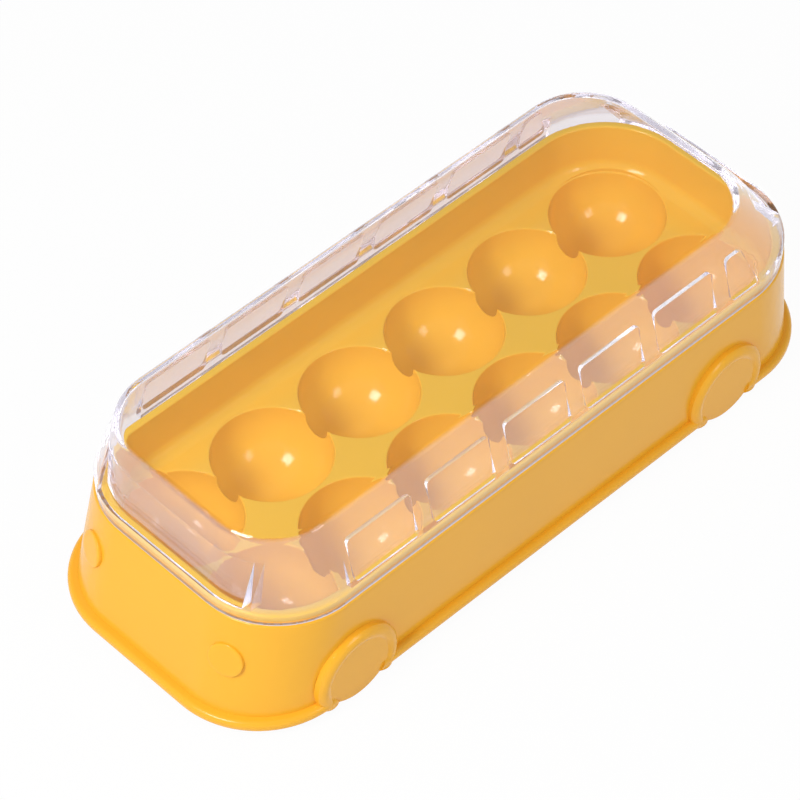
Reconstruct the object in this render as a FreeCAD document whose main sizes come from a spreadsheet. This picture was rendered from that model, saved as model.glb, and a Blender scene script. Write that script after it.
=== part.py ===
import FreeCAD, Part
import math
import os
import re
from typing import NamedTuple

import Sketcher

# Egg holder in the shape of a bus: a skirted body on four fixed wheels, a drop-in tray of egg cups
# and a clear lift-off lid. Millimetres, +X towards the raked windscreen, +Z up, origin on the
# surface that the wheels stand on, midway along the bottom bead.

SIZES = (
    ("cup_pitch", 47.0, "egg cups, centre to centre along a row"),
    ("row_pitch", 50.4, "centre to centre of the two rows"),
    ("cups_per_row", 6, "egg cups in a row"),
    ("cup_shift", 3.6, "middle of the rows, ahead of the middle of the body"),
    ("cup_radius", 24.3, "inner radius of a bowl"),
    ("cup_wall", 0.95, "upright wall between a bowl and its lip"),
    ("cup_lip", 0.65, "rounding of a bowl into the tray floor"),
    ("tray_floor", 32.0, "tray floor above the table"),
    ("tray_wall", 1.6, "thickness of the tray"),
    ("tray_sweep", 6.0, "rounding between tray floor and tray wall"),
    ("well_draft", 0.8, "how far the well narrows from rim to floor"),
    ("rim_width", 3.4, "tray rim, from well to outer face"),
    ("rim_rise", 3.2, "tray rim above the ledge"),
    ("rim_round", 1.0, "rounding of the tray rim"),
    ("seat_gap", 0.3, "tray to the opening it drops into"),
    ("ledge_height", 52.0, "ledge that carries tray and lid, above the table"),
    ("ledge_back", 145.8, "back of the ledge from the middle"),
    ("ledge_front", 156.3, "front of the ledge from the middle"),
    ("ledge_half", 61.4, "half the width of the ledge"),
    ("ledge_round", 1.2, "rounding of the ledge's outer edge"),
    ("back_corner", 37.0, "plan corner at the back of the ledge"),
    ("front_corner", 41.0, "plan corner at the front of the ledge"),
    ("foot_back", 158.0, "back of the skirt at its foot"),
    ("foot_front", 158.0, "front of the skirt at its foot"),
    ("foot_half", 62.4, "half the width of the skirt at its foot"),
    ("foot_corner", 37.5, "plan corner of the skirt at its foot"),
    ("skirt_wall", 2.0, "thickness of the skirt"),
    ("bead_bottom", 3.5, "underside of the bottom bead above the table"),
    ("bead_height", 5.0, "height of the bottom bead"),
    ("bead_reach", 3.0, "how far the bead stands out of the skirt"),
    ("bead_round", 2.2, "rounding of the bead"),
    ("let_in", 1.2, "how deep wheels, arches and lamps are let into the skirt"),
    ("wheel_radius", 18.7, "wheel disc"),
    ("wheel_flat", 0.4, "flat on the tread that stands on the table"),
    ("wheel_back", 106.0, "back axle line behind the middle"),
    ("wheel_front", 98.0, "front axle line ahead of the middle"),
    ("wheel_reach", 2.2, "how far a wheel face stands out of the skirt"),
    ("wheel_round", 1.3, "rounding of the edge of a wheel"),
    ("arch_height", 13.5, "middle of the wheel arches above the table"),
    ("arch_inner", 14.0, "inner radius of a wheel arch"),
    ("arch_width", 6.5, "arch bead across its section"),
    ("arch_rise", 1.8, "height of the arch bead's round crest"),
    ("lamp_radius", 6.8, "lamp disc"),
    ("lamp_rise", 0.9, "how far a lamp stands out of the skirt"),
    ("lamp_height", 33.0, "lamps above the table"),
    ("lamp_turn", 20.0, "degrees that a lamp faces away from straight ahead"),
    ("lid_inset", 0.5, "lid lip in from the edge of the ledge"),
    ("lid_wall", 1.8, "thickness of the lid"),
    ("lid_gap", 0.4, "lid lip to tray rim"),
    ("lip_height", 7.0, "height of the lid lip"),
    ("roof_height", 90.0, "top of the lid above the table"),
    ("roof_back", 137.1, "back edge of the roof before rounding"),
    ("roof_front", 129.3, "front edge of the roof before rounding"),
    ("roof_half", 50.3, "half the width of the roof before rounding"),
    ("roof_corner", 28.0, "plan corner of the roof"),
    ("roof_round", 3.6, "rounding from lid wall to roof"),
    ("panes", 5, "full side windows on a side"),
    ("pane_start", 103.5, "back end of the row of side windows"),
    ("pane_width", 32.6, "length of a side window"),
    ("pane_post", 8.2, "post between side windows"),
    ("short_pane", 15.0, "length of the quarter window behind the windscreen"),
    ("pane_rake", 20.0, "degrees that the quarter window's front edge leans back"),
    ("pane_sill", 0.4, "foot of a side window above the lip"),
    ("pane_rise", 20.3, "head of the windows above the lip"),
    ("pane_in", 2.4, "foot of a side window behind the wall"),
    ("pane_out", 1.8, "head of a side window in front of the wall"),
    ("pane_corner", 2.2, "corner of a side window"),
    ("screen_half", 40.0, "half the width of an end window, round the corners"),
    ("back_in", 4.5, "foot of the back window behind the wall"),
    ("screen_in", 3.0, "foot of the windscreen behind the wall"),
    ("screen_head", 0.2, "head of an end window behind the wall"),
    ("pane_clear", 3.0, "how far a window's cut reaches out of the wall"),
)

doc = FreeCAD.newDocument("egg_holder")
sheet = doc.addObject("Spreadsheet::Sheet", "Sizes")


def fill_sheet():
    """Write each driving size to its own named cell."""
    for row, (alias, number, meaning) in enumerate(SIZES, 1):
        sheet.set(f"A{row}", meaning)
        sheet.set(f"B{row}", str(number))
        sheet.setAlias(f"B{row}", alias)
    doc.recompute()


def cell(text):
    """Spell out a formula of sizes with the sheet's name before each alias."""

    def spell(match):
        word = match.group()
        return f"Sizes.{word}" if word in ALIASES else word

    return re.sub("[a-z_]+", spell, text)


def value(text):
    """Work out a formula of sizes as a number."""
    result = sheet.evalExpression(cell(text))
    return float(getattr(result, "Value", result))


ALIASES = {alias for alias, number, meaning in SIZES}
fill_sheet()


class Plan(NamedTuple):
    """A rounded rectangle seen from above: formulas for its reach each way and its corners."""

    back: str
    front: str
    half: str
    back_corner: str
    front_corner: str

    def inset(self, depth):
        """The same plan drawn in by a formula."""
        return Plan(*(f"{size} - ({depth})" for size in self))

    def towards(self, other, share):
        """The plan at a share of the way along a straight loft to another one."""
        return Plan(*(f"({low}) + ({share}) * (({high}) - ({low}))" for low, high in zip(self, other)))


FOOT = Plan("foot_back", "foot_front", "foot_half", "foot_corner", "foot_corner")
BEAD = FOOT.inset("0 - bead_reach")
LEDGE = Plan("ledge_back", "ledge_front", "ledge_half", "back_corner", "front_corner")
LIP = LEDGE.inset("lid_inset")
ROOF = Plan("roof_back", "roof_front", "roof_half", "roof_corner", "roof_corner")
RIM = LIP.inset("lid_wall + lid_gap")
WELL_MOUTH = RIM.inset("rim_width")
WELL_FLOOR = WELL_MOUTH.inset("well_draft")
TRAY_NECK = WELL_MOUTH.inset("0 - tray_wall")
TRAY_BASE = WELL_FLOOR.inset("0 - tray_wall")
OPENING = TRAY_NECK.inset("0 - seat_gap")

LIP_TOP = "ledge_height + lip_height"
WALL_RISE = f"roof_height - ({LIP_TOP})"
HEADER = LIP.towards(ROOF, f"pane_rise / ({WALL_RISE})")

BEAD_TOP = "bead_bottom + bead_height"
RIM_TOP = "ledge_height + rim_rise"


UP = FreeCAD.Vector(0, 0, 1)


def vector(x, y):
    return FreeCAD.Vector(x, y, 0)


def new_body(label):
    body = doc.addObject("PartDesign::Body", label)
    body.Label = label
    return body


def plane(body, role):
    for feature in body.Origin.OriginFeatures:
        if feature.Role == role:
            return feature
    raise RuntimeError(f"{body.Label} has no {role}")


def settle(body, feature):
    """Make a feature the body's last one, and stop if it can't be built."""
    body.Tip = feature
    doc.recompute()
    if "Invalid" in feature.State or "Error" in feature.State:
        raise RuntimeError(f"{feature.Label}: {feature.getStatusString()}")
    return feature


def new_sketch(body, name, role, offset):
    """A sketch on one of the body's own planes, moved by formulas for its local x, y and z."""
    sketch = body.newObject("Sketcher::SketchObject", name)
    sketch.AttachmentSupport = (plane(body, role), [""])
    sketch.MapMode = "FlatFace"
    for axis, text in offset.items():
        sketch.setExpression(f"AttachmentOffset.Base.{axis}", cell(text))
    return sketch


def bind(sketch, kind, places, text, name):
    """Add a dimension to a sketch and tie it to a formula of sizes."""
    index = sketch.addConstraint(Sketcher.Constraint(kind, *places, value(text)))
    sketch.renameConstraint(index, name)
    sketch.setExpression(f"Constraints.{name}", cell(text))


def draw_rounded(sketch, low_x, high_x, low_y, high_y, low_corner, high_corner, tag, rake=None):
    """Four lines and four tangent arcs, held by their distances from the sketch's origin.

    The side at high x may lean back by a rake in degrees.
    """
    left, right = value(low_x), value(high_x)
    bottom, top = value(low_y), value(high_y)
    lean = math.radians(value(rake)) if rake else 0
    drawn_back = (top - bottom) * math.tan(lean)
    corners = (
        vector(left, bottom),
        vector(right, bottom),
        vector(right - drawn_back, top),
        vector(left, top),
    )
    rounds = [value(text) for text in (low_corner, high_corner, high_corner, low_corner)]
    count = len(corners)
    ways = [(corners[(at + 1) % count] - corners[at]).normalize() for at in range(count)]
    bends = [ways[at - 1].getAngle(ways[at]) for at in range(count)]
    cuts = [rounds[at] * math.tan(bends[at] / 2) for at in range(count)]
    lines = []
    arcs = []
    for at in range(count):
        after = (at + 1) % count
        start = corners[at] + ways[at] * cuts[at]
        end = corners[after] - ways[at] * cuts[after]
        lines.append(sketch.addGeometry(Part.LineSegment(start, end)))
        normal = vector(-ways[at - 1].y, ways[at - 1].x)
        centre = corners[at] - ways[at - 1] * cuts[at] + normal * rounds[at]
        circle = Part.Circle(centre, UP, rounds[at])
        first = math.atan2(-normal.y, -normal.x)
        arcs.append(sketch.addGeometry(Part.ArcOfCircle(circle, first, first + bends[at])))
    for at in range(count):
        sketch.addConstraint(Sketcher.Constraint("Tangent", lines[at - 1], 2, arcs[at], 1))
        sketch.addConstraint(Sketcher.Constraint("Tangent", arcs[at], 2, lines[at], 1))
    south, east, north, west = lines
    south_west, south_east, north_east, north_west = arcs
    for flat in (south, north):
        sketch.addConstraint(Sketcher.Constraint("Horizontal", flat))
    sketch.addConstraint(Sketcher.Constraint("Vertical", west))
    if rake:
        slope = sketch.addConstraint(Sketcher.Constraint("Angle", east, math.pi / 2 + lean))
        sketch.renameConstraint(slope, f"rake{tag}")
        sketch.setExpression(f"Constraints.rake{tag}", cell(f"(90 + {rake}) * 1 deg"))
    else:
        sketch.addConstraint(Sketcher.Constraint("Vertical", east))
    sketch.addConstraint(Sketcher.Constraint("Equal", south_east, north_east))
    sketch.addConstraint(Sketcher.Constraint("Equal", south_west, north_west))
    bind(sketch, "Radius", (south_east,), high_corner, f"high_corner{tag}")
    bind(sketch, "Radius", (south_west,), low_corner, f"low_corner{tag}")
    bind(sketch, "DistanceX", (-1, 1, west, 1), low_x, f"low_x{tag}")
    bind(sketch, "DistanceX", (-1, 1, east, 1), high_x, f"high_x{tag}")
    bind(sketch, "DistanceY", (-1, 1, south, 1), low_y, f"low_y{tag}")
    bind(sketch, "DistanceY", (-1, 1, north, 1), high_y, f"high_y{tag}")


def plan_sketch(body, name, plan, height):
    """A plan outline at a height."""
    sketch = new_sketch(body, name, "XY_Plane", {"z": height})
    draw_rounded(
        sketch,
        f"0 - ( {plan.back} )",
        plan.front,
        f"0 - ( {plan.half} )",
        plan.half,
        plan.back_corner,
        plan.front_corner,
        "",
    )
    return sketch


def loft_sketches(body, kind, name, first, second):
    """A straight-sided loft between two sketches, added or cut away."""
    feature = body.newObject(f"PartDesign::{kind}Loft", name)
    feature.Profile = first
    feature.Sections = [second]
    feature.Ruled = True
    return settle(body, feature)


def loft(body, kind, name, start, start_height, end, end_height):
    """A straight-sided loft between two plans, added or cut away."""
    first = plan_sketch(body, f"{name}_start", start, start_height)
    second = plan_sketch(body, f"{name}_end", end, end_height)
    return loft_sketches(body, kind, name, first, second)


def pad(body, name, plan, height, length):
    """A plan raised from a height by a length."""
    feature = body.newObject("PartDesign::Pad", name)
    feature.Profile = plan_sketch(body, f"{name}_plan", plan, height)
    feature.setExpression("Length", cell(length))
    return settle(body, feature)


def pocket(body, name, sketch, depth, outward):
    """A sketch cut into the body, along the sketch's normal or against it."""
    before = body.Shape.Volume
    feature = body.newObject("PartDesign::Pocket", name)
    feature.Profile = sketch
    feature.setExpression("Length", cell(depth))
    feature.Reversed = outward
    settle(body, feature)
    if not body.Shape.Volume < before:
        raise RuntimeError(f"{name} cuts nothing")
    return feature


def fillet(body, name, radius, chosen):
    """Round every edge that the test picks."""
    base = body.Tip
    names = []
    for index, edge in enumerate(base.Shape.Edges, 1):
        if chosen(edge):
            names.append(f"Edge{index}")
    if not names:
        raise RuntimeError(f"{name} finds no edge")
    feature = body.newObject("PartDesign::Fillet", name)
    feature.Base = (base, names)
    feature.setExpression("Radius", cell(radius))
    return settle(body, feature)


TOUCH = 1e-4


def at_height(text):
    """Picks edges that lie flat at a height."""
    height = value(text)
    return lambda edge: (
        abs(edge.BoundBox.ZMin - height) < TOUCH and abs(edge.BoundBox.ZMax - height) < TOUCH
    )


def outside(plan, height):
    """Picks flat edges at a height that lie on a plan's own outline."""
    flat = at_height(height)
    back, front, half = value(plan.back), value(plan.front), value(plan.half)
    back_corner, front_corner = value(plan.back_corner), value(plan.front_corner)

    def chosen(edge):
        if not flat(edge):
            return False
        middle = edge.valueAt((edge.FirstParameter + edge.LastParameter) / 2)
        corner = front_corner if middle.x > 0 else back_corner
        end = front if middle.x > 0 else back
        across = abs(middle.y) - (half - corner)
        along = abs(middle.x) - (end - corner)
        if across > 0 and along > 0:
            return abs(math.hypot(across, along) - corner) < TOUCH
        return abs(across - corner) < TOUCH or abs(along - corner) < TOUCH

    return chosen


def turn(body, kind, name, sketch):
    """Turn a profile right round its sketch's own upright axis."""
    feature = body.newObject(f"PartDesign::{kind}", name)
    feature.Profile = sketch
    feature.ReferenceAxis = (sketch, ["V_Axis"])
    feature.Angle = 360
    return settle(body, feature)


def cup_sketch(body, name, side, radius, top, lip):
    """Half a section of a cup: a quarter round, an upright wall, an optional rounded lip, and its axis."""
    first = "cup_shift - cup_pitch * (cups_per_row - 1) / 2"
    offset = {"x": first, "y": "tray_floor", "z": f"{side} * row_pitch / 2"}
    sketch = new_sketch(body, name, "XZ_Plane", offset)
    centre = "0 - cup_wall - cup_lip"
    bowl = value(radius)
    middle = value(centre)
    ceiling = value(top)
    circle = Part.Circle(vector(0, middle), UP, bowl)
    arc = sketch.addGeometry(Part.ArcOfCircle(circle, -math.pi / 2, 0))
    wall_top = -value(lip) if lip else ceiling
    wall = sketch.addGeometry(Part.LineSegment(vector(bowl, middle), vector(bowl, wall_top)))
    chain = [arc, wall]
    if lip:
        wide = bowl + value(lip)
        round_circle = Part.Circle(vector(wide, wall_top), UP, value(lip))
        rounding = sketch.addGeometry(Part.ArcOfCircle(round_circle, math.pi / 2, math.pi))
        riser = sketch.addGeometry(Part.LineSegment(vector(wide, 0), vector(wide, ceiling)))
        chain.append(riser)
    corner = vector(bowl + value(lip) if lip else bowl, ceiling)
    flat = sketch.addGeometry(Part.LineSegment(corner, vector(0, ceiling)))
    axis = sketch.addGeometry(Part.LineSegment(vector(0, ceiling), vector(0, middle - bowl)))
    chain += [flat, axis]
    for index, edge in enumerate(chain):
        before = chain[index - 1]
        if lip and edge == riser:
            sketch.addConstraint(Sketcher.Constraint("Coincident", wall, 2, rounding, 2))
            sketch.addConstraint(Sketcher.Constraint("Coincident", rounding, 1, riser, 1))
        else:
            sketch.addConstraint(Sketcher.Constraint("Coincident", before, 2, edge, 1))
    for upright in (wall, *((riser,) if lip else ())):
        sketch.addConstraint(Sketcher.Constraint("Vertical", upright))
    sketch.addConstraint(Sketcher.Constraint("Horizontal", flat))
    sketch.addConstraint(Sketcher.Constraint("Horizontal", arc, 2, arc, 3))
    for end in (1, 2):
        sketch.addConstraint(Sketcher.Constraint("PointOnObject", axis, end, -2))
    sketch.addConstraint(Sketcher.Constraint("PointOnObject", arc, 3, -2))
    bind(sketch, "Radius", (arc,), radius, "bowl")
    bind(sketch, "DistanceY", (arc, 3, -1, 1), f"0 - ({centre})", "centre")
    bind(sketch, "DistanceY", (-1, 1, flat, 1), top, "ceiling")
    if lip:
        sketch.addConstraint(Sketcher.Constraint("Horizontal", rounding, 2, rounding, 3))
        sketch.addConstraint(Sketcher.Constraint("Vertical", rounding, 1, rounding, 3))
        bind(sketch, "Radius", (rounding,), lip, "lip")
        bind(sketch, "DistanceY", (-1, 1, rounding, 1), "0", "mouth")
    return sketch


def cup_row(body, kind, name, side, radius, top, lip):
    """One cup turned at the back of a row, then repeated along the row."""
    sketch = cup_sketch(body, f"{name}_section", side, radius, top, lip)
    cup = turn(body, kind, name, sketch)
    row = body.newObject("PartDesign::LinearPattern", f"{name}_row")
    row.Originals = [cup]
    row.Direction = (sketch, ["H_Axis"])
    row.setExpression("Length", cell("cup_pitch * (cups_per_row - 1)"))
    row.setExpression("Occurrences", cell("cups_per_row"))
    settle(body, row)


SIDES = (("left", -1), ("right", 1))


def make_egg_tray():
    """A well with a rim that sits on the ledge, and two rows of bowls sunk in its floor."""
    body = new_body("egg_tray")
    under = "tray_floor - tray_wall"
    loft(body, "Additive", "well_outside", TRAY_BASE, under, TRAY_NECK, "ledge_height")
    pad(body, "rim", RIM, "ledge_height", "rim_rise")
    for word, side in SIDES:
        cup_row(body, "Revolution", f"bowl_{word}", side, "cup_radius + tray_wall", "0", None)
    loft(body, "Subtractive", "well", WELL_FLOOR, "tray_floor", WELL_MOUTH, RIM_TOP)
    fillet(body, "well_sweep", "tray_sweep", outside(WELL_FLOOR, "tray_floor"))
    fillet(body, "rim_edges", "rim_round", at_height(RIM_TOP))
    for word, side in SIDES:
        cup_row(body, "Groove", f"cup_{word}", side, "cup_radius", "tray_sweep", "cup_lip")
    return body


CROSSING = "pane_rise * pane_in / (pane_in + pane_out)"
CROSSED_WALL = LIP.towards(ROOF, f"{CROSSING} / ({WALL_RISE})")
PANE_FOOT = f"{LIP.half} - pane_in"
PANE_RUN = f"({PANE_FOOT}) - ({HEADER.half}) - pane_out"
PANE_LEAN = f"atan(({PANE_RUN}) / pane_rise)"
PANE_PITCH = "(pane_width + pane_post)"


def pane_sketch(body, name):
    """The row of side windows, on the plane of their panes, which leans less than the wall."""
    sketch = new_sketch(body, name, "XZ_Plane", {"y": LIP_TOP, "z": PANE_FOOT})
    sketch.AttachmentOffset = FreeCAD.Placement(
        sketch.AttachmentOffset.Base,
        FreeCAD.Rotation(FreeCAD.Vector(1, 0, 0), -value(PANE_LEAN)),
    )
    sketch.setExpression("AttachmentOffset.Rotation.Angle", cell(f"-1 * {PANE_LEAN}"))
    head = f"pane_rise / cos({PANE_LEAN})"
    corners = ("pane_corner", "pane_corner")
    count = int(value("panes"))
    for index in range(count + 1):
        start = f"{index} * {PANE_PITCH} - pane_start"
        short = index == count
        end = f"{start} + {'short_pane' if short else 'pane_width'}"
        rake = "pane_rake" if short else None
        draw_rounded(sketch, start, end, "pane_sill", head, *corners, f"_{index}", rake)
    return sketch


def mirror(body, name, feature):
    """The same feature on the other side of the body."""
    other = body.newObject("PartDesign::Mirrored", name)
    other.Originals = [feature]
    other.MirrorPlane = (plane(body, "XZ_Plane"), [""])
    return settle(body, other)


def raise_panes(body):
    """Fill the side windows out to their panes, which stand proud of the wall at the head."""
    feature = body.newObject("PartDesign::Pad", "panes")
    feature.Profile = pane_sketch(body, "pane_outlines")
    feature.setExpression("Length", cell("pane_clear"))
    feature.Reversed = True
    settle(body, feature)
    mirror(body, "far_panes", feature)


def sink_panes(body):
    """Cut the side windows back to their panes, which lie behind the wall at the foot."""
    sketch = pane_sketch(body, "recess_outlines")
    feature = pocket(body, "recesses", sketch, "pane_clear", True)
    mirror(body, "far_recesses", feature)


def back_panes(body):
    """A wedge along the inside of each side wall that backs the recessed feet of the windows."""
    buried = "lid_wall * 2 / 3"
    corners = (
        (f"{LIP.half} - {buried}", f"{LIP_TOP} - lid_wall"),
        (f"{PANE_FOOT} - lid_wall", f"{LIP_TOP} - lid_wall"),
        (f"{CROSSED_WALL.half} - lid_wall", f"{LIP_TOP} + {CROSSING}"),
        (f"{CROSSED_WALL.half} - {buried}", f"{LIP_TOP} + {CROSSING}"),
    )
    start = "0 - pane_start - lid_wall"
    sketch = new_sketch(body, "wedge_section", "YZ_Plane", {"z": start})
    points = [vector(-value(across), value(height)) for across, height in corners]
    edges = []
    for first, second in zip(points, points[1:] + points[:1]):
        edges.append(sketch.addGeometry(Part.LineSegment(first, second)))
    for index, edge in enumerate(edges):
        ends = (edges[index - 1], 2, edge, 1)
        sketch.addConstraint(Sketcher.Constraint("Coincident", *ends))
        across, height = corners[index]
        bind(sketch, "DistanceX", (-1, 1, edge, 1), f"0 - ({across})", f"across_{index}")
        bind(sketch, "DistanceY", (-1, 1, edge, 1), height, f"height_{index}")
    feature = body.newObject("PartDesign::Pad", "wedge")
    feature.Profile = sketch
    feature.setExpression("Length", cell(f"panes * {PANE_PITCH} + short_pane + 2 * lid_wall"))
    settle(body, feature)
    mirror(body, "far_wedge", feature)


def draw_band(sketch, plan, way, depths, half_width):
    """A strip along one end of a plan and part way round its corners, between two depths."""
    end = plan.front if way > 0 else plan.back
    corner = plan.front_corner if way > 0 else plan.back_corner
    straight_half = f"({plan.half}) - ({corner})"
    middle_x = way * value(f"({end}) - ({corner})")
    middle_y = value(straight_half)
    straight_end, far_end = (1, 2) if way > 0 else (2, 1)
    curves = []
    for word, depth in zip(("outer", "inner"), depths):
        radius = f"({corner}) - ({depth})"
        bend = math.asin((value(half_width) - middle_y) / value(radius))
        high_span = (0, bend) if way > 0 else (math.pi - bend, math.pi)
        low_span = (-bend, 0) if way > 0 else (math.pi, math.pi + bend)
        face = middle_x + way * value(radius)
        low, high = vector(face, -middle_y), vector(face, middle_y)
        straight = sketch.addGeometry(Part.LineSegment(low, high))
        high_circle = Part.Circle(vector(middle_x, middle_y), UP, value(radius))
        low_circle = Part.Circle(vector(middle_x, -middle_y), UP, value(radius))
        upper = sketch.addGeometry(Part.ArcOfCircle(high_circle, *high_span))
        lower = sketch.addGeometry(Part.ArcOfCircle(low_circle, *low_span))
        sketch.addConstraint(Sketcher.Constraint("Tangent", straight, 2, upper, straight_end))
        sketch.addConstraint(Sketcher.Constraint("Tangent", straight, 1, lower, far_end))
        sketch.addConstraint(Sketcher.Constraint("Vertical", straight))
        reach = f"{way} * (({end}) - ({depth}))"
        bind(sketch, "DistanceX", (-1, 1, straight, 1), reach, f"{word}_reach")
        bind(sketch, "Radius", (upper,), radius, f"{word}_upper")
        bind(sketch, "Radius", (lower,), radius, f"{word}_lower")
        bind(sketch, "DistanceY", (-1, 1, upper, 3), straight_half, f"{word}_high")
        bind(sketch, "DistanceY", (lower, 3, -1, 1), straight_half, f"{word}_low")
        curves.append((upper, lower))
    for word, side, point in (("high", 0, far_end), ("low", 1, straight_end)):
        outer, inner = curves[0][side], curves[1][side]
        ends = (sketch.getPoint(outer, point), sketch.getPoint(inner, point))
        edge = sketch.addGeometry(Part.LineSegment(*ends))
        sketch.addConstraint(Sketcher.Constraint("Coincident", outer, point, edge, 1))
        sketch.addConstraint(Sketcher.Constraint("Coincident", edge, 2, inner, point))
        sketch.addConstraint(Sketcher.Constraint("Horizontal", edge))
        span = (-1, 1, edge, 1) if side == 0 else (edge, 1, -1, 1)
        bind(sketch, "DistanceY", span, half_width, f"{word}_end")


def end_band(body, kind, name, way, foot, head, half_width):
    """A band that leans with an end wall; foot and head each give a plan, a height and two depths."""
    sketches = []
    for word, (plan, height, depths) in (("foot", foot), ("head", head)):
        sketch = new_sketch(body, f"{name}_{word}", "XY_Plane", {"z": height})
        draw_band(sketch, plan, way, depths, half_width)
        sketches.append(sketch)
    loft_sketches(body, kind, name, *sketches)


def end_window(body, name, way, depth):
    """A pane set back at its foot and nearly flush at its head, with a wall of its own behind it."""
    head_height = f"{LIP_TOP} + pane_rise"
    buried = "lid_wall * 2 / 3"
    sill_depths = (buried, f"{depth} + lid_wall")
    under = (LIP, f"{LIP_TOP} - lid_wall", sill_depths)
    foot = (LIP, LIP_TOP, sill_depths)
    head = (HEADER, head_height, (buried, "screen_head + lid_wall"))
    end_band(body, "Additive", f"{name}_sill", way, under, foot, "screen_half + lid_wall")
    end_band(body, "Additive", f"{name}_backing", way, foot, head, "screen_half + lid_wall")
    foot = (LIP, LIP_TOP, ("0 - pane_clear", depth))
    head = (HEADER, head_height, ("0 - pane_clear", "screen_head"))
    end_band(body, "Subtractive", f"{name}_recess", way, foot, head, "screen_half")


def make_clear_lid():
    """A clear cover: an upright lip on the ledge, leaning walls with windows, and a flat roof."""
    body = new_body("clear_lid")
    pad(body, "lip", LIP, "ledge_height", "lip_height")
    loft(body, "Additive", "walls", LIP, LIP_TOP, ROOF, "roof_height")
    fillet(body, "roof_edge", "roof_round", at_height("roof_height"))
    raise_panes(body)
    ceiling = "roof_height - lid_wall"
    inner_lip = LIP.inset("lid_wall")
    inner_roof = ROOF.inset("lid_wall")
    loft(body, "Subtractive", "lip_inside", inner_lip, "ledge_height", inner_lip, LIP_TOP)
    loft(body, "Subtractive", "lid_inside", inner_lip, LIP_TOP, inner_roof, ceiling)
    fillet(body, "ceiling_edge", "roof_round - lid_wall", at_height(ceiling))
    back_panes(body)
    sink_panes(body)
    end_window(body, "back_window", -1, "back_in")
    end_window(body, "windscreen", 1, "screen_in")
    return body


AXLE = "wheel_radius - wheel_flat"
WALL_CORE = "foot_half - let_in"
ARCH_OUTER = "arch_inner + arch_width"
ARCH_MIDDLE = "arch_inner + arch_width / 2"
CREST = "foot_half + bead_reach"
WHEEL_FACE = "foot_half + wheel_reach"


def draw_section(sketch, side, inner, outer, base, shoulder, crown, tag):
    """Half a section beside an axle: a block from base to shoulder whose end is one arc.

    The arc ends at the shoulder on its outer side and reaches the crown where the section
    begins on the axle, or midway where it begins further out.
    """
    near, far = value(inner), value(outer)
    low, high = side * value(base), side * value(shoulder)
    top = side * value(crown)
    on_axle = near == 0
    start = vector(near, top if on_axle else high)
    sagitta = abs(top - high)
    run = far - near if on_axle else (far - near) / 2
    radius = (run**2 + sagitta**2) / (2 * sagitta)
    middle = vector(near if on_axle else (near + far) / 2, top - side * radius)
    turn_to = math.acos(run / radius) if run < radius else 0
    half_way = (turn_to + math.pi / 2) / 2 if on_axle else math.pi / 2
    through = vector(
        middle.x + radius * math.cos(half_way),
        middle.y + side * radius * math.sin(half_way),
    )
    corners = (start, vector(near, low), vector(far, low), vector(far, high))
    wall = sketch.addGeometry(Part.LineSegment(corners[0], corners[1]))
    floor = sketch.addGeometry(Part.LineSegment(corners[1], corners[2]))
    skin = sketch.addGeometry(Part.LineSegment(corners[2], corners[3]))
    crest = sketch.addGeometry(Part.Arc(corners[3], through, corners[0]))
    ends = (1, 2) if side > 0 else (2, 1)
    for pair in ((wall, 2, floor, 1), (floor, 2, skin, 1)):
        sketch.addConstraint(Sketcher.Constraint("Coincident", *pair))
    sketch.addConstraint(Sketcher.Constraint("Coincident", skin, 2, crest, ends[0]))
    sketch.addConstraint(Sketcher.Constraint("Coincident", crest, ends[1], wall, 1))
    for upright in (wall, skin):
        sketch.addConstraint(Sketcher.Constraint("Vertical", upright))
    sketch.addConstraint(Sketcher.Constraint("Horizontal", floor))
    bind(sketch, "DistanceX", (-1, 1, wall, 2), inner, f"inner{tag}")
    bind(sketch, "DistanceX", (-1, 1, skin, 2), outer, f"outer{tag}")
    bind(sketch, "DistanceY", (-1, 1, floor, 1), f"{side} * ({base})", f"base{tag}")
    bind(sketch, "DistanceY", (-1, 1, skin, 2), f"{side} * ({shoulder})", f"shoulder{tag}")
    if on_axle:
        sketch.addConstraint(Sketcher.Constraint("PointOnObject", crest, 3, -2))
        bind(sketch, "DistanceY", (-1, 1, wall, 1), f"{side} * ({crown})", f"crown{tag}")
    else:
        sketch.addConstraint(Sketcher.Constraint("Horizontal", wall, 1, skin, 2))
        spread = f"(({outer}) - ({inner})) / 2"
        rise = f"(({crown}) - ({shoulder}))"
        bind(sketch, "Radius", (crest,), f"(({spread})^2 + {rise}^2) / (2 * {rise})", f"round{tag}")


def turned_pair(body, kind, name, axle, section):
    """Turn the same section about the middle of an arch on both sides of the body."""
    sketch = new_sketch(body, f"{name}_section", "XY_Plane", {"x": axle, "z": "arch_height"})
    for word, side in SIDES:
        draw_section(sketch, side, *section, f"_{word}")
    turn(body, kind, name, sketch)


AXLES = (("back", "0 - wheel_back"), ("front", "wheel_front"))


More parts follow.
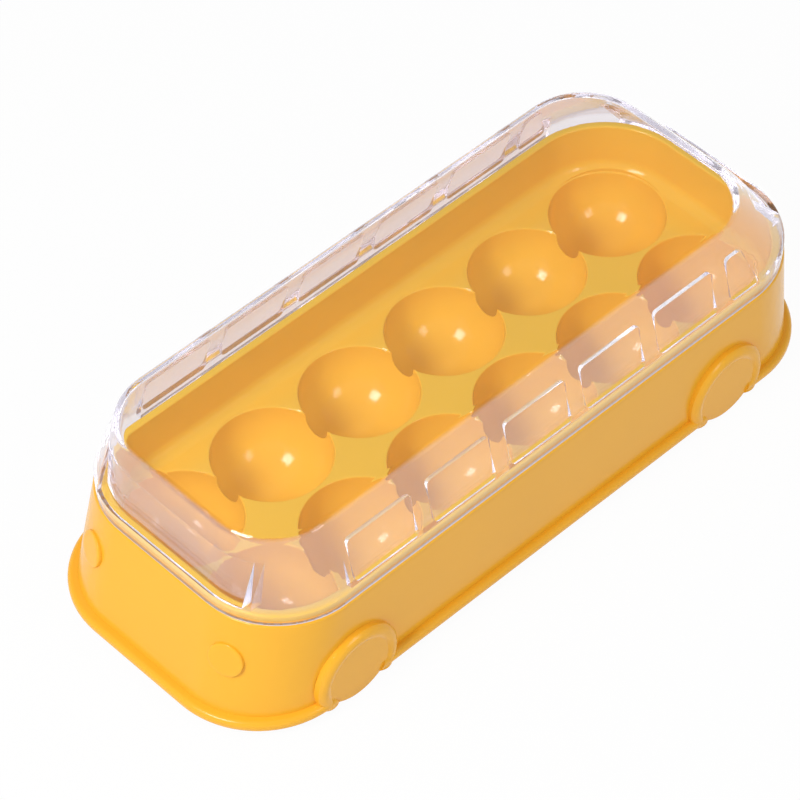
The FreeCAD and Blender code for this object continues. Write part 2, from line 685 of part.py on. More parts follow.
def wheel_sketch(body, name, side):
    """Both wheels of a side: a wheel's circle below, closed by an arc inside its arch above."""
    sketch = new_sketch(body, name, "XZ_Plane", {"z": f"{-side} * ({WALL_CORE})"})
    low, high = value(AXLE), value("arch_height")
    tread, roof = value("wheel_radius"), value(ARCH_MIDDLE)
    meeting = (tread**2 - roof**2 - low**2 + high**2) / (2 * (high - low))
    for word, axle in AXLES:
        middle = value(axle)
        bend = math.asin((meeting - low) / tread)
        tread_circle = Part.Circle(vector(middle, low), UP, tread)
        wheel = sketch.addGeometry(Part.ArcOfCircle(tread_circle, math.pi - bend, 2 * math.pi + bend))
        bend = math.asin((meeting - high) / roof)
        roof_circle = Part.Circle(vector(middle, high), UP, roof)
        cover = sketch.addGeometry(Part.ArcOfCircle(roof_circle, bend, math.pi - bend))
        sketch.addConstraint(Sketcher.Constraint("Coincident", wheel, 2, cover, 1))
        sketch.addConstraint(Sketcher.Constraint("Coincident", cover, 2, wheel, 1))
        bind(sketch, "Radius", (wheel,), "wheel_radius", f"{word}_tread")
        bind(sketch, "Radius", (cover,), ARCH_MIDDLE, f"{word}_cover")
        for edge, height in ((wheel, AXLE), (cover, "arch_height")):
            bind(sketch, "DistanceX", (-1, 1, edge, 3), axle, f"{word}_place_{edge}")
            bind(sketch, "DistanceY", (-1, 1, edge, 3), height, f"{word}_height_{edge}")
    return sketch


def wheel_edges(edge):
    """The free outer edge of a wheel, below its arch."""
    if not isinstance(edge.Curve, Part.Circle):
        return False
    on_face = all(abs(abs(v.Y) - value(WHEEL_FACE)) < TOUCH for v in edge.Vertexes)
    return on_face and abs(edge.Curve.Radius - value("wheel_radius")) < TOUCH


def make_wheels(body):
    """Clear the bead away at each wheel, raise the arch bead over it and set in the disc."""
    hollow = ("0", "arch_inner", WALL_CORE, CREST, f"{CREST} + bead_reach")
    arch = ("arch_inner", ARCH_OUTER, WALL_CORE, f"{CREST} - arch_rise", CREST)
    for word, axle in AXLES:
        turned_pair(body, "Groove", f"{word}_hollow", axle, hollow)
        turned_pair(body, "Revolution", f"{word}_arch", axle, arch)
    below = plan_sketch(body, "below_bead_plan", BEAD.inset("0 - bead_reach"), "bead_bottom")
    pocket(body, "below_bead", below, "wheel_radius", False)
    for word, side in SIDES:
        wheels = body.newObject("PartDesign::Pad", f"{word}_wheels")
        wheels.Profile = wheel_sketch(body, f"{word}_wheel_outlines", side)
        wheels.setExpression("Length", cell(f"{WHEEL_FACE} - ({WALL_CORE})"))
        wheels.Reversed = side > 0
        settle(body, wheels)
    fillet(body, "wheel_edges", "wheel_round", wheel_edges)
    table = plan_sketch(body, "table_plan", BEAD.inset("0 - bead_reach"), "0")
    pocket(body, "tread_flats", table, "wheel_radius", False)


def skirt_at(low, high, height):
    """A size of the skirt between its foot and the ledge, at a height."""
    foot, rise = value("bead_bottom"), value("ledge_height - bead_bottom")
    share = (height - foot) / rise
    return value(low) + (value(high) - value(low)) * share


def make_lamps(body):
    """Two flat discs on the corners of each end, each square to the skirt where it sits."""
    height = value("lamp_height")
    swing = math.radians(value("lamp_turn"))
    half = skirt_at("foot_half", "ledge_half", height)
    ends = (
        ("back", -1, "foot_back", "ledge_back", "back_corner"),
        ("front", 1, "foot_front", "ledge_front", "front_corner"),
    )
    sunk = value("let_in")
    for word, way, foot, ledge, corner_size in ends:
        reach = skirt_at(foot, ledge, height)
        corner = skirt_at("foot_corner", corner_size, height)
        lean = math.atan(value(f"({foot} - {ledge}) / (ledge_height - bead_bottom)"))
        for side_word, side in SIDES:
            out = FreeCAD.Vector(way * math.cos(swing), side * math.sin(swing), 0)
            middle = FreeCAD.Vector(way * (reach - corner), side * (half - corner), height)
            normal = out * math.cos(lean) + UP * math.sin(lean)
            lamp = body.newObject("PartDesign::AdditiveCylinder", f"{word}_{side_word}_lamp")
            lamp.setExpression("Radius", cell("lamp_radius"))
            lamp.Height = sunk + value("lamp_rise")
            turned = FreeCAD.Rotation(UP, normal)
            lamp.Placement = FreeCAD.Placement(middle + out * corner - normal * sunk, turned)
            settle(body, lamp)


def make_bus_body():
    """A skirt that flares to a bead at its foot, open below, with a ledge round the tray."""
    body = new_body("bus_body")
    loft(body, "Additive", "skirt", LEDGE, "ledge_height", FOOT, "bead_bottom")
    fillet(body, "ledge_edge", "ledge_round", at_height("ledge_height"))
    pad(body, "bead", BEAD, "bead_bottom", "bead_height")
    top_edge = outside(BEAD, BEAD_TOP)
    low_edge = outside(BEAD, "bead_bottom")
    fillet(body, "bead_edges", "bead_round", lambda edge: top_edge(edge) or low_edge(edge))
    inner_foot = FOOT.inset("skirt_wall")
    inner_ledge = LEDGE.inset("skirt_wall")
    under = "ledge_height - skirt_wall"
    loft(body, "Subtractive", "skirt_inside", inner_foot, "bead_bottom", inner_ledge, under)
    opening = plan_sketch(body, "opening_plan", OPENING, "ledge_height")
    pocket(body, "opening", opening, "2 * skirt_wall", False)
    make_wheels(body)
    make_lamps(body)
    return body


def check_document(names):
    """Stop if anything failed to build, or a piece is not one sound solid."""
    for item in doc.Objects:
        if "Invalid" in item.State or "Error" in item.State:
            raise RuntimeError(f"{item.Label} failed: {item.State}")
    for name in names:
        shape = doc.getObject(name).Shape
        if shape.isNull() or not shape.isValid() or len(shape.Solids) != 1:
            raise RuntimeError(f"{name} is not one sound solid")


PIECES = {"bus_body": make_bus_body, "egg_tray": make_egg_tray, "clear_lid": make_clear_lid}

for make in PIECES.values():
    make()
doc.recompute()
check_document(PIECES)
os.makedirs("parts", exist_ok=True)
for name in PIECES:
    piece = doc.getObject(name)
    piece.Shape.exportStep(f"parts/{piece.Label}.step")
    box = piece.Shape.optimalBoundingBox()
    print(f"{name}: {piece.Shape.Volume / 1000:.1f} cm3, {box}")
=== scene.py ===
"""Looks of a bus-shaped egg holder: yellow moulded body and tray, clear lift-off lid, pale stage.

All lengths are in metres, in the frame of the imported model: +X towards the raked windscreen,
-Y the near side, +Z up, with the wheels standing on z = 0.
"""

import math

import bmesh
import bpy
from bpy.props import FloatProperty, FloatVectorProperty, PointerProperty
from bpy.types import Operator, Panel, PropertyGroup
from mathutils import Matrix, Vector
from mathutils.bvhtree import BVHTree


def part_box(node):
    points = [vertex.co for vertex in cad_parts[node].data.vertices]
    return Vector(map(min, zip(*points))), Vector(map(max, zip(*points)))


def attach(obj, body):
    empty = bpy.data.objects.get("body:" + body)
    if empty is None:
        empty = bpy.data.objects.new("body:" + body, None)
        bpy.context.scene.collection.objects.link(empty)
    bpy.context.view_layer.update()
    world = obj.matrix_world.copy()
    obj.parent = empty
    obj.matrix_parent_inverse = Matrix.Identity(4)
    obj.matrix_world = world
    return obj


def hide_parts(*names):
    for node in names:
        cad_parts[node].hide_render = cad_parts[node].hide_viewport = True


bl_info = {
    "name": "Bus egg holder",
    "version": (1, 0, 0),
    "blender": (4, 5, 0),
    "location": "3D View > Sidebar > Egg holder",
    "description": "Dresses the packed egg holder in moulded yellow and clear plastic on a pale stage",
    "category": "Object",
}

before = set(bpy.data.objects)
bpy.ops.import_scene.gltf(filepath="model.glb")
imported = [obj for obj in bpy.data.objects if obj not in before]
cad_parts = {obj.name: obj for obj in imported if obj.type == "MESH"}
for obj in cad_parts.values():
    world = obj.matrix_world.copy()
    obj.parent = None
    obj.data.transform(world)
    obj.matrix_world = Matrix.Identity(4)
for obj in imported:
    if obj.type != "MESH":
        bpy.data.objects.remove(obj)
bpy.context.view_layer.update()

# Copies of the solids: points closer than the weld are one, and large flat faces lead the shading
WELD = 2e-6
FLAT_FACE_WEIGHT = 90

# Lamps: middles of the skirt's plan corners at lamp height, and the discs that carry the lenses
BACK_CORNER = (0.11338, 0.02459)
FRONT_CORNER = (0.11734, 0.02216)
DISC_RISE = 0.0009
RAY_START = 0.06
LENS_SEGMENTS = 64
LENS_RINGS = 48

# Noise patterns, each a scale and a detail, and the span of values that noise mostly takes
YELLOW_DRIFT = (14.0, 2.0)
FLOW_MARKS = (60.0, 4.0)
MOULD_GRAIN = (2600.0, 2.0)
LID_HAZE = (35.0, 3.0)
LID_RIPPLE = (55.0, 1.0)
EDGE_SPECKLE = (900.0, 3.0)
NOISE_SPAN = (0.3, 0.7)

# Roughness, from the glossiest to the dullest spot
SKIRT_ROUGHNESS = (0.21, 0.25)
TRAY_ROUGHNESS = (0.1, 0.13)
LID_ROUGHNESS = (0.0, 0.03)
EDGE_ROUGHNESS = (0.35, 0.5)

# Bumps, each a strength and a depth
GRAIN_BUMP = (0.03, 0.0001)
RIPPLE_BUMP = (0.015, 0.0005)

# Yellow plastic: how far its colour drifts each way, and where on the noise
DRIFT = 0.015
DRIFT_SPAN = (0.32, 0.68)
YELLOW_IOR = 1.5
YELLOW_SPECULAR = 0.32

# Clear plastic: bending, polish, the milky veil and tint painted on the walls as their sheen, and the pale
# glow painted at the end of rays that stay in the sheet
LID_IOR = 1.22
COAT_WEIGHT = 0.65
COAT_IOR = 1.6
COAT_ROUGHNESS = 0.02
PAINTED_SHEEN_COLOUR = (0.85, 0.8, 0.9)
PAINTED_SHEEN_SHARE = 0.09
PAINTED_DEEP_RAY_GLOW = (0.66, 0.64, 0.74)
DEEP_RAYS = (("Glossy Depth", 1.5), ("Transmission Depth", 5.5))
ROOF_TO_WALL = (0.8, 0.6)
LIP_TO_WALL = (0.0575, 0.0595)

# Lid's bottom edge, painted as a silvery line: which faces it has, how dull its specks are, and the strength
# of its painted glow
FACING_DOWN = -0.9
EDGE_TOUCH = 0.00002
SPECK_SHADE = 0.85
SPECK_SPAN = (0.35, 0.65)
PAINTED_EDGE_GLOW = 0.45

# Stage
WHITE = (1.0, 1.0, 1.0)
FLOOR_GREY = (0.86, 0.86, 0.86)
SKY_LIGHT = ((0.0, (0.55, 0.55, 0.58)), (0.75, WHITE))
SKY_SEEN = ((0.2, WHITE), (0.6, (0.3, 0.3, 0.32)))
SEEN_RAYS = ("Is Camera Ray", "Is Glossy Ray", "Is Transmission Ray")
LIGHTING_RAYS = ("Is Shadow Ray", "Is Diffuse Ray")
LAMP_AIM = Vector((0.0, 0.0, 0.045))
KEY_BOX = {"direction": (-0.744, -0.022, 0.667), "distance": 0.9, "side": 0.27}
FILL_BOX = {"direction": (0.12, -0.86, 0.497), "distance": 0.745, "side": 0.2}

# Camera, by where it stands round the middle of the bus and how far it is moved right and up
CAMERA_AIM = Vector((0.0, 0.0, 0.042))
CAMERA_AZIMUTH = math.radians(-44.19)
CAMERA_ELEVATION = math.radians(47.87)
CAMERA_DISTANCE = 1.51231
CAMERA_SHIFT = (-0.0159, -0.006763)
CAMERA_LENS = 174.12
CAMERA_SENSOR = 36.0
CAMERA_CLIP = (0.05, 100.0)


class PlasticSettings(PropertyGroup):
    """Colours and finish of the mouldings."""

    body_colour: FloatVectorProperty(
        name="Body colour",
        description="Yellow of the skirt, wheels and lamps",
        subtype="COLOR",
        size=3,
        min=0.0,
        max=1.0,
        default=(0.94, 0.47, 0.03),
    )
    # The tray's yellow is set lighter than the body's, painting in light that the tray lacks under the lid
    tray_colour: FloatVectorProperty(
        name="Tray colour",
        description="Yellow of the drop-in tray",
        subtype="COLOR",
        size=3,
        min=0.0,
        max=1.0,
        default=(0.98, 0.585, 0.055),
    )
    lid_colour: FloatVectorProperty(
        name="Lid tint",
        description="Faint lilac of the clear lid",
        subtype="COLOR",
        size=3,
        min=0.0,
        max=1.0,
        default=(0.97, 0.955, 0.985),
    )
    # Painted sheen: a deeper lilac on the walls only, beside the lid's own faint lilac
    wall_sheen_colour: FloatVectorProperty(
        name="Lid wall tint",
        description="Deeper lilac of the lid's walls",
        subtype="COLOR",
        size=3,
        min=0.0,
        max=1.0,
        default=(0.9, 0.875, 0.93),
    )
    # Painted edge line: silver grey with a painted glow at the lid's bottom edge, standing in for its
    # reflection
    painted_edge_colour: FloatVectorProperty(
        name="Lid edge",
        description="Silver grey of the lid's ground bottom edge",
        subtype="COLOR",
        size=3,
        min=0.0,
        max=1.0,
        default=(0.52, 0.52, 0.6),
    )
    crease_angle: FloatProperty(
        name="Crease angle",
        description="Edges sharper than this stay crisp",
        subtype="ANGLE",
        default=math.radians(28),
    )


class LampSettings(PropertyGroup):
    """The round lamps at the four corners of the skirt."""

    radius: FloatProperty(
        name="Radius",
        description="Radius of a lamp's lens",
        unit="LENGTH",
        default=0.0074,
    )
    rise: FloatProperty(
        name="Rise",
        description="Height of a lamp's lens over the skirt",
        unit="LENGTH",
        default=0.0012,
    )
    squareness: FloatProperty(
        name="Squareness",
        description="How flat a lens is before it rounds down to its edge",
        min=2.0,
        default=6.0,
    )
    height: FloatProperty(
        name="Height",
        description="Height of the lamps over the table",
        unit="LENGTH",
        default=0.033,
    )
    turn: FloatProperty(
        name="Turn",
        description="How far a lamp looks out to its side",
        subtype="ANGLE",
        default=math.radians(20),
    )


class StageSettings(PropertyGroup):
    """Floor, lights and camera."""

    floor_size: FloatProperty(
        name="Floor size",
        description="Side of the square floor",
        unit="LENGTH",
        default=16.0,
    )
    floor_white: FloatProperty(
        name="Floor white",
        description="Share of plain white in the floor that the camera sees",
        subtype="FACTOR",
        min=0.0,
        max=1.0,
        default=0.96,
    )
    key_power: FloatProperty(
        name="Key lamp",
        description="Power of the softbox behind the bus",
        unit="POWER",
        default=4.4,
    )
    fill_power: FloatProperty(
        name="Fill lamp",
        description="Power of the softbox at the near side",
        unit="POWER",
        default=0.8,
    )
    sky: FloatProperty(
        name="Sky",
        description="Strength of the soft light from all round",
        default=0.55,
    )


class EggHolderSettings(PropertyGroup):
    """Everything that a user would change."""

    plastic: PointerProperty(type=PlasticSettings)
    lamps: PointerProperty(type=LampSettings)
    stage: PointerProperty(type=StageSettings)


def settings():
    return bpy.context.scene.egg_holder


def opaque(colour):
    return (*colour, 1.0)


class Nodes:
    """A node tree, built up node by node."""

    def __init__(self, tree):
        self.tree = tree

    def feed(self, target, source):
        """Fill an input from a socket or with a plain value."""
        if isinstance(source, bpy.types.NodeSocket):
            self.tree.links.new(source, target)
        else:
            target.default_value = source

    def add(self, kind, **inputs):
        """A node with its inputs fed by name, written with _ for a space."""
        node = self.tree.nodes.new(kind)
        for name, source in inputs.items():
            self.feed(node.inputs[name.replace("_", " ")], source)
        return node

    def maths(self, operation, *sources):
        node = self.add("ShaderNodeMath")
        node.operation = operation
        for target, source in zip(node.inputs, sources):
            self.feed(target, source)
        return node.outputs["Value"]

    def split(self, vector):
        """The three parts of a vector."""
        return self.add("ShaderNodeSeparateXYZ", Vector=vector).outputs


class Shader(Nodes):
    """The nodes of a new material or world."""

    def __init__(self, name, blocks="materials", output="ShaderNodeOutputMaterial"):
        self.block = getattr(bpy.data, blocks).new(name)
        self.block.use_nodes = True
        super().__init__(self.block.node_tree)
        self.tree.nodes.clear()
        self.output = self.add(output)

    def noise(self, scale, detail):
        """Noise on the piece's own place, so that it stays put from every side."""
        place = self.add("ShaderNodeTexCoord").outputs["Object"]
        return self.add("ShaderNodeTexNoise", Vector=place, Scale=scale, Detail=detail).outputs["Fac"]

    def stretch(self, source, span, low, high):
        """A value brought from its span to the range from low to high."""
        start, stop = span
        node = self.add("ShaderNodeMapRange", Value=source, From_Min=start, From_Max=stop)
        self.feed(node.inputs["To Min"], low)
        self.feed(node.inputs["To Max"], high)
        return node.outputs["Result"]

    def ramp(self, share, *stops):
        """A blend between two stops, each a place and a colour."""
        node = self.add("ShaderNodeValToRGB", Fac=share)
        for element, (place, colour) in zip(node.color_ramp.elements, stops):
            element.position = place
            element.color = opaque(colour)
        return node.outputs["Color"]

    def bump(self, height, strength, depth):
        node = self.add("ShaderNodeBump", Height=height, Strength=strength, Distance=depth)
        return node.outputs["Normal"]

    def mix(self, share, first, second):
        """The second surface by the share given, and the first for the rest."""
        node = self.add("ShaderNodeMixShader", Fac=share)
        self.feed(node.inputs[1], first)
        self.feed(node.inputs[2], second)
        return node.outputs["Shader"]

    def largest(self, sources):
        found, *others = sources
        for other in others:
            found = self.maths("MAXIMUM", found, other)
        return found

    def any_ray(self, kinds):
        """One where a ray is of any of the kinds, else nought."""
        path = self.add("ShaderNodeLightPath").outputs
        return self.largest(path[kind] for kind in kinds)

    def deep_ray(self, limits):
        """One where a ray has bounced more often than one of the limits, else nought."""
        path = self.add("ShaderNodeLightPath").outputs
        return self.largest(self.maths("GREATER_THAN", path[depth], limit) for depth, limit in limits)

    def done(self, surface):
        self.feed(self.output.inputs["Surface"], surface)
        return self.block


def yellow_plastic(name, colour, roughness):
    """Glossy moulded plastic: slow drift in its yellow, faint flow marks and a fine moulded skin."""
    shader = Shader(name)
    deeper = [(1.0 - DRIFT) * part for part in colour]
    lighter = [min(1.0, (1.0 + DRIFT) * part) for part in colour]
    stops = zip(DRIFT_SPAN, (deeper, lighter))
    skin = shader.add(
        "ShaderNodeBsdfPrincipled",
        Base_Color=shader.ramp(shader.noise(*YELLOW_DRIFT), *stops),
        Roughness=shader.stretch(shader.noise(*FLOW_MARKS), NOISE_SPAN, *roughness),
        IOR=YELLOW_IOR,
        Specular_IOR_Level=YELLOW_SPECULAR,
        Normal=shader.bump(shader.noise(*MOULD_GRAIN), *GRAIN_BUMP),
    )
    return shader.done(skin.outputs["BSDF"])


def sheen_on_walls(shader):
    """One on the lid's walls above the lip, where their sheen is painted; nought on its flat roof and the
    lip.
    """
    where = shader.add("ShaderNodeTexCoord").outputs
    slope = shader.maths("ABSOLUTE", shader.split(where["Normal"])["Z"])
    wall = shader.stretch(slope, ROOF_TO_WALL, 0.0, 1.0)
    return shader.stretch(shader.split(where["Object"])["Z"], LIP_TO_WALL, 0.0, wall)


def clear_plastic(name, colour, wall_sheen_colour):
    """Polished clear plastic: rippled, with a milky veil and deeper tint painted on its walls as sheen, and
    a pale glow painted at its edges.
    """
    shader = Shader(name)
    walls = sheen_on_walls(shader)
    skin = shader.add(
        "ShaderNodeBsdfPrincipled",
        Base_Color=shader.ramp(walls, (0.0, colour), (1.0, wall_sheen_colour)),
        Roughness=shader.stretch(shader.noise(*LID_HAZE), NOISE_SPAN, *LID_ROUGHNESS),
        IOR=LID_IOR,
        Transmission_Weight=1.0,
        Coat_Weight=COAT_WEIGHT,
        Coat_IOR=COAT_IOR,
        Coat_Roughness=COAT_ROUGHNESS,
        Normal=shader.bump(shader.noise(*LID_RIPPLE), *RIPPLE_BUMP),
    )
    # Painted sheen: a milky lilac veil on the walls only, standing in for their reflections
    sheen_veil = shader.add("ShaderNodeBsdfDiffuse", Color=opaque(PAINTED_SHEEN_COLOUR))
    veil = shader.maths("MULTIPLY", walls, PAINTED_SHEEN_SHARE)
    sheet = shader.mix(veil, skin.outputs["BSDF"], sheen_veil.outputs["BSDF"])
    # Painted glow: rays that bounce long in the sheet end in a pale lilac emission, standing in for
    # reflections at the lid's edges
    glow = shader.add("ShaderNodeEmission", Color=opaque(PAINTED_DEEP_RAY_GLOW), Strength=1.0)
    seen = shader.mix(shader.deep_ray(DEEP_RAYS), sheet, glow.outputs["Emission"])
    through = shader.add("ShaderNodeBsdfTransparent", Color=opaque(WHITE))
    return shader.done(shader.mix(shader.any_ray(LIGHTING_RAYS), seen, through.outputs["BSDF"]))


def ground_edge(name, colour):
    """The lid's bottom edge, speckled matt grey with a painted glow: a silvery line that stands in for the
    reflection along the lid's foot.
    """
    shader = Shader(name)
    speckle = shader.noise(*EDGE_SPECKLE)
    stops = zip(SPECK_SPAN, ([SPECK_SHADE * part for part in colour], colour))
    skin = shader.add(
        "ShaderNodeBsdfPrincipled",
        Base_Color=shader.ramp(speckle, *stops),
        Roughness=shader.stretch(speckle, NOISE_SPAN, *EDGE_ROUGHNESS),
        # Painted glow: the edge gives off its own grey light
        Emission_Color=opaque(colour),
        Emission_Strength=PAINTED_EDGE_GLOW,
    )
    return shader.done(skin.outputs["BSDF"])


def link_object(name, content):
    piece = bpy.data.objects.new(name, content)
    bpy.context.scene.collection.objects.link(piece)
    return piece


def plain_mesh(piece):
    """Turn a piece's modifiers into plain geometry."""
    graph = bpy.context.evaluated_depsgraph_get()
    made = bpy.data.meshes.new_from_object(piece.evaluated_get(graph), depsgraph=graph)
    piece.modifiers.clear()
    old = piece.data
    piece.data = made
    bpy.data.meshes.remove(old)
    made.name = piece.name
    return piece


def smooth_moulding(name, node, material):
    """A welded, smoothly shaded copy of a solid, which stands for it."""
    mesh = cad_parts[node].data.copy()
    facets = mesh.attributes.get("custom_normal")
    if facets:
        mesh.attributes.remove(facets)
    welded = bmesh.new()
    welded.from_mesh(mesh)
    bmesh.ops.remove_doubles(welded, verts=welded.verts, dist=WELD)
    welded.to_mesh(mesh)
    welded.free()
    mesh.shade_smooth()
    mesh.set_sharp_from_angle(angle=settings().plastic.crease_angle)
    mesh.materials.clear()
    mesh.materials.append(material)
    piece = link_object(name, mesh)
    normals = piece.modifiers.new("normals", "WEIGHTED_NORMAL")
    normals.keep_sharp = True
    normals.weight = FLAT_FACE_WEIGHT
    return plain_mesh(piece)


class EGGHOLDER_OT_body(Operator):
    """Dress the skirted body with its wheels, arches and bead"""

    bl_idname = "egg_holder.body"
    bl_label = "Body"

    def execute(self, context):
        material = yellow_plastic("skirt_yellow", settings().plastic.body_colour, SKIRT_ROUGHNESS)
        piece = smooth_moulding("skirted_body", "bus_body", material)
        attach(piece, "base")
        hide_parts("bus_body")
        return {"FINISHED"}


class LensTree(Nodes):
    """Geometry nodes that set one domed lens on every point of a mesh."""

    def __init__(self):
        super().__init__(bpy.data.node_groups.new("lamp_lenses", "GeometryNodeTree"))
        self.sockets = {}
        self.declare("Geometry", "Geometry")
        for name in ("Radius", "Rise", "Squareness"):
            self.declare(name, "Float")
        self.declare("Material", "Material")
        self.tree.interface.new_socket("Geometry", in_out="OUTPUT", socket_type="NodeSocketGeometry")
        self.given = self.add("NodeGroupInput").outputs
        self.build()

    def declare(self, name, kind):
        """A named input of the tree."""
        kind = f"NodeSocket{kind}"
        self.sockets[name] = self.tree.interface.new_socket(name, in_out="INPUT", socket_type=kind)

    def lens(self):
        """A ball squashed to a lens: flat in the middle, and rounded down to its edge."""
        ball = self.add("GeometryNodeMeshUVSphere", Segments=LENS_SEGMENTS, Rings=LENS_RINGS, Radius=1.0)
        across, along, up = self.split(self.add("GeometryNodeInputPosition").outputs[0])
        squares = [self.maths("MULTIPLY", part, part) for part in (across, along)]
        out = self.maths("SQRT", self.maths("ADD", *squares))
        power = self.given["Squareness"]
        left = self.maths("SUBTRACT", 1.0, self.maths("POWER", out, power))
        root = self.maths("DIVIDE", 1.0, power)
        crown = self.maths("POWER", self.maths("MAXIMUM", left, 0.0), root)
        signed = self.maths("MULTIPLY", crown, self.maths("SIGN", up))
        spot = self.add(
            "ShaderNodeCombineXYZ",
            X=self.maths("MULTIPLY", across, self.given["Radius"]),
            Y=self.maths("MULTIPLY", along, self.given["Radius"]),
            Z=self.maths("MULTIPLY", signed, self.given["Rise"]),
        )
        shaped = self.add("GeometryNodeSetPosition", Geometry=ball.outputs["Mesh"], Position=spot.outputs[0])
        return shaped.outputs["Geometry"]

    def build(self):
        facing = self.add("GeometryNodeInputNamedAttribute", Name="facing")
        facing.data_type = "FLOAT_VECTOR"
        aim = self.add("FunctionNodeAlignRotationToVector", Vector=facing.outputs[0])
        aim.axis = "Z"
        lenses = self.add(
            "GeometryNodeInstanceOnPoints",
            Points=self.given["Geometry"],
            Instance=self.lens(),
            Rotation=aim.outputs["Rotation"],
        )
        real = self.add("GeometryNodeRealizeInstances", Geometry=lenses.outputs["Instances"])
        smooth = self.add("GeometryNodeSetShadeSmooth", Geometry=real.outputs[0])
        coloured = self.add("GeometryNodeSetMaterial", Geometry=smooth.outputs[0])
        self.feed(coloured.inputs["Material"], self.given["Material"])
        self.add("NodeGroupOutput", Geometry=coloured.outputs[0])


def lamp_seats(height, turn):
    """Where the skirt's lamp discs are met from outside: the place under each disc, and its facing."""
    skin = bmesh.new()
    skin.from_mesh(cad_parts["bus_body"].data)
    surface = BVHTree.FromBMesh(skin)
    skin.free()
    seats = []
    for end, middle in ((-1, BACK_CORNER), (1, FRONT_CORNER)):
        for side in (-1, 1):
            out = Vector((end * math.cos(turn), side * math.sin(turn), 0.0))
            centre = Vector((end * middle[0], side * middle[1], height))
            spot, normal, _, _ = surface.ray_cast(centre + out * RAY_START, -out)
            if spot is None:
                raise RuntimeError("no lamp disc found on the skirt")
            seats.append((spot - normal * DISC_RISE, normal))
    return seats


class EGGHOLDER_OT_lamps(Operator):
    """Set a softly domed lens on each of the four lamp discs"""

    bl_idname = "egg_holder.lamps"
    bl_label = "Lamps"

    def execute(self, context):
        lamps = settings().lamps
        material = bpy.data.materials["skirt_yellow"]
        seats = lamp_seats(lamps.height, lamps.turn)
        mesh = bpy.data.meshes.new("lamp_lenses")
        mesh.from_pydata([spot for spot, _ in seats], [], [])
        mesh.materials.append(material)
        facing = mesh.attributes.new("facing", "FLOAT_VECTOR", "POINT")
        for index, (_, normal) in enumerate(seats):
            facing.data[index].vector = normal
        piece = link_object("lamp_lenses", mesh)
        lenses = LensTree()
        modifier = piece.modifiers.new("lenses", "NODES")
        modifier.node_group = lenses.tree
        given = {
            "Radius": lamps.radius,
            "Rise": lamps.rise,
            "Squareness": lamps.squareness,
            "Material": material,
        }
        for name, content in given.items():
            modifier[lenses.sockets[name].identifier] = content
        plain_mesh(piece)
        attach(piece, "base")
        return {"FINISHED"}


class EGGHOLDER_OT_tray(Operator):
    """Dress the drop-in tray of bowls"""

    bl_idname = "egg_holder.tray"
    bl_label = "Tray"

    def execute(self, context):
        material = yellow_plastic("tray_yellow", settings().plastic.tray_colour, TRAY_ROUGHNESS)
        piece = smooth_moulding("bowl_tray", "egg_tray", material)
        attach(piece, "base")
        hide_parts("egg_tray")
        return {"FINISHED"}


class EGGHOLDER_OT_lid(Operator):
    """Dress the clear lid and its bottom edge, painted as a glowing silvery line"""

    bl_idname = "egg_holder.lid"
    bl_label = "Lid"

    def execute(self, context):
        plastic = settings().plastic
        material = clear_plastic("polished_clear", plastic.lid_colour, plastic.wall_sheen_colour)
        piece = smooth_moulding("window_lid", "clear_lid", material)
        piece.data.materials.append(ground_edge("ground_edge", plastic.painted_edge_colour))
        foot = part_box("clear_lid")[0][2]
        for face in piece.data.polygons:
            if face.normal.z < FACING_DOWN and face.center.z < foot + EDGE_TOUCH:
                face.material_index = 1
        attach(piece, "lid")
        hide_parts("clear_lid")
        return {"FINISHED"}


def floor_material(white):
    """Pale floor that shows as white and still takes the object's shadow."""
    shader = Shader("pale_floor")
    matt = shader.add("ShaderNodeBsdfDiffuse", Color=opaque(FLOOR_GREY))
    glow = shader.add("ShaderNodeEmission", Color=opaque(WHITE), Strength=1.0)
    share = shader.maths("MULTIPLY", shader.any_ray(SEEN_RAYS), white)
    return shader.done(shader.mix(share, matt.outputs["BSDF"], glow.outputs["Emission"]))


def add_floor(size, white):
    half = size / 2
    corners = [(-half, -half, 0), (half, -half, 0), (half, half, 0), (-half, half, 0)]
    mesh = bpy.data.meshes.new("floor")
    mesh.from_pydata(corners, [], [(0, 1, 2, 3)])
    mesh.materials.append(floor_material(white))
    floor = link_object("floor", mesh)


def add_softbox(name, power, direction, distance, side):
    """A square lamp facing the object from a direction."""
    light = bpy.data.lights.new(name, "AREA")
    light.shape = "SQUARE"
    light.size = side
    light.energy = power
    lamp = link_object(name, light)
    way = Vector(direction).normalized()
    lamp.location = LAMP_AIM + way * distance
    lamp.rotation_mode = "QUATERNION"
    lamp.rotation_quaternion = (-way).to_track_quat("-Z", "Y")


def add_sky(strength):
    """Soft light from all round; gloss and glass see it white at the horizon and dim overhead."""
    shader = Shader("soft_sky", "worlds", "ShaderNodeOutputWorld")
    height = shader.split(shader.add("ShaderNodeTexCoord").outputs["Generated"])["Z"]
    soft = shader.add("ShaderNodeBackground", Color=shader.ramp(height, *SKY_LIGHT), Strength=strength)
    seen = shader.add("ShaderNodeBackground", Color=shader.ramp(height, *SKY_SEEN), Strength=1.0)
    share = shader.any_ray(SEEN_RAYS)
    sky = shader.mix(share, soft.outputs["Background"], seen.outputs["Background"])
    bpy.context.scene.world = shader.done(sky)


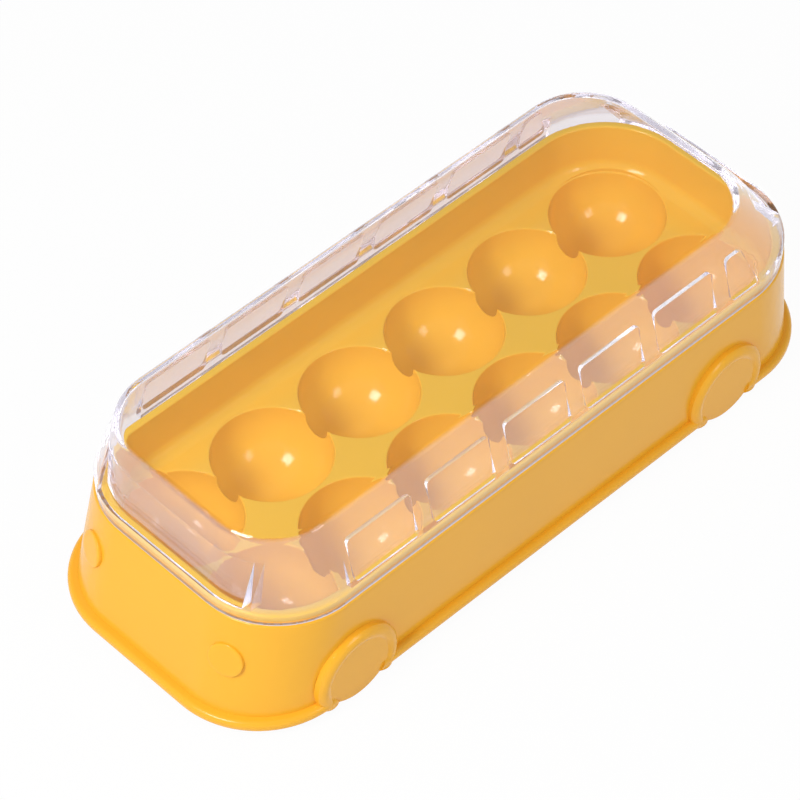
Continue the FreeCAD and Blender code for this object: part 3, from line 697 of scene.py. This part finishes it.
def add_camera():
    """The photograph's view: from above the back left corner with a long lens."""
    back = Vector(
        (
            math.sin(CAMERA_AZIMUTH) * math.cos(CAMERA_ELEVATION),
            -math.cos(CAMERA_AZIMUTH) * math.cos(CAMERA_ELEVATION),
            math.sin(CAMERA_ELEVATION),
        )
    )
    right = Vector((math.cos(CAMERA_AZIMUTH), math.sin(CAMERA_AZIMUTH), 0.0))
    up = back.cross(right)
    data = bpy.data.cameras.new("camera")
    data.sensor_width = CAMERA_SENSOR
    data.lens = CAMERA_LENS
    data.clip_start, data.clip_end = CAMERA_CLIP
    camera = link_object("camera", data)
    rightward, upward = CAMERA_SHIFT
    place = CAMERA_AIM + back * CAMERA_DISTANCE + right * rightward + up * upward
    turn = Matrix((right, up, back)).transposed().to_4x4()
    camera.matrix_world = Matrix.Translation(place) @ turn
    bpy.context.scene.camera = camera


class EGGHOLDER_OT_stage(Operator):
    """Set up the floor, lights and camera"""

    bl_idname = "egg_holder.stage"
    bl_label = "Stage"

    def execute(self, context):
        stage = settings().stage
        add_floor(stage.floor_size, stage.floor_white)
        add_softbox("key_softbox", stage.key_power, **KEY_BOX)
        add_softbox("fill_softbox", stage.fill_power, **FILL_BOX)
        add_sky(stage.sky)
        add_camera()
        context.scene.view_settings.view_transform = "Standard"
        return {"FINISHED"}


STEPS = (
    EGGHOLDER_OT_body,
    EGGHOLDER_OT_lamps,
    EGGHOLDER_OT_tray,
    EGGHOLDER_OT_lid,
    EGGHOLDER_OT_stage,
)


class EGGHOLDER_PT_panel(Panel):
    """The pieces, in the order they are made, and their settings"""

    bl_idname = "EGGHOLDER_PT_panel"
    bl_label = "Egg holder"
    bl_space_type = "VIEW_3D"
    bl_region_type = "UI"
    bl_category = "Egg holder"

    def draw(self, context):
        for step in STEPS:
            self.layout.operator(step.bl_idname)
        for group in (settings().plastic, settings().lamps, settings().stage):
            box = self.layout.box()
            for name in group.__annotations__:
                box.prop(group, name)


CLASSES = (
    PlasticSettings,
    LampSettings,
    StageSettings,
    EggHolderSettings,
    *STEPS,
    EGGHOLDER_PT_panel,
)


def register():
    for kind in CLASSES:
        bpy.utils.register_class(kind)
    bpy.types.Scene.egg_holder = PointerProperty(type=EggHolderSettings)


def unregister():
    del bpy.types.Scene.egg_holder
    for kind in reversed(CLASSES):
        bpy.utils.unregister_class(kind)


def main():
    register()
    bpy.ops.egg_holder.body()
    bpy.ops.egg_holder.lamps()
    bpy.ops.egg_holder.tray()
    bpy.ops.egg_holder.lid()
    bpy.ops.egg_holder.stage()


if __name__ == "__main__":
    main()
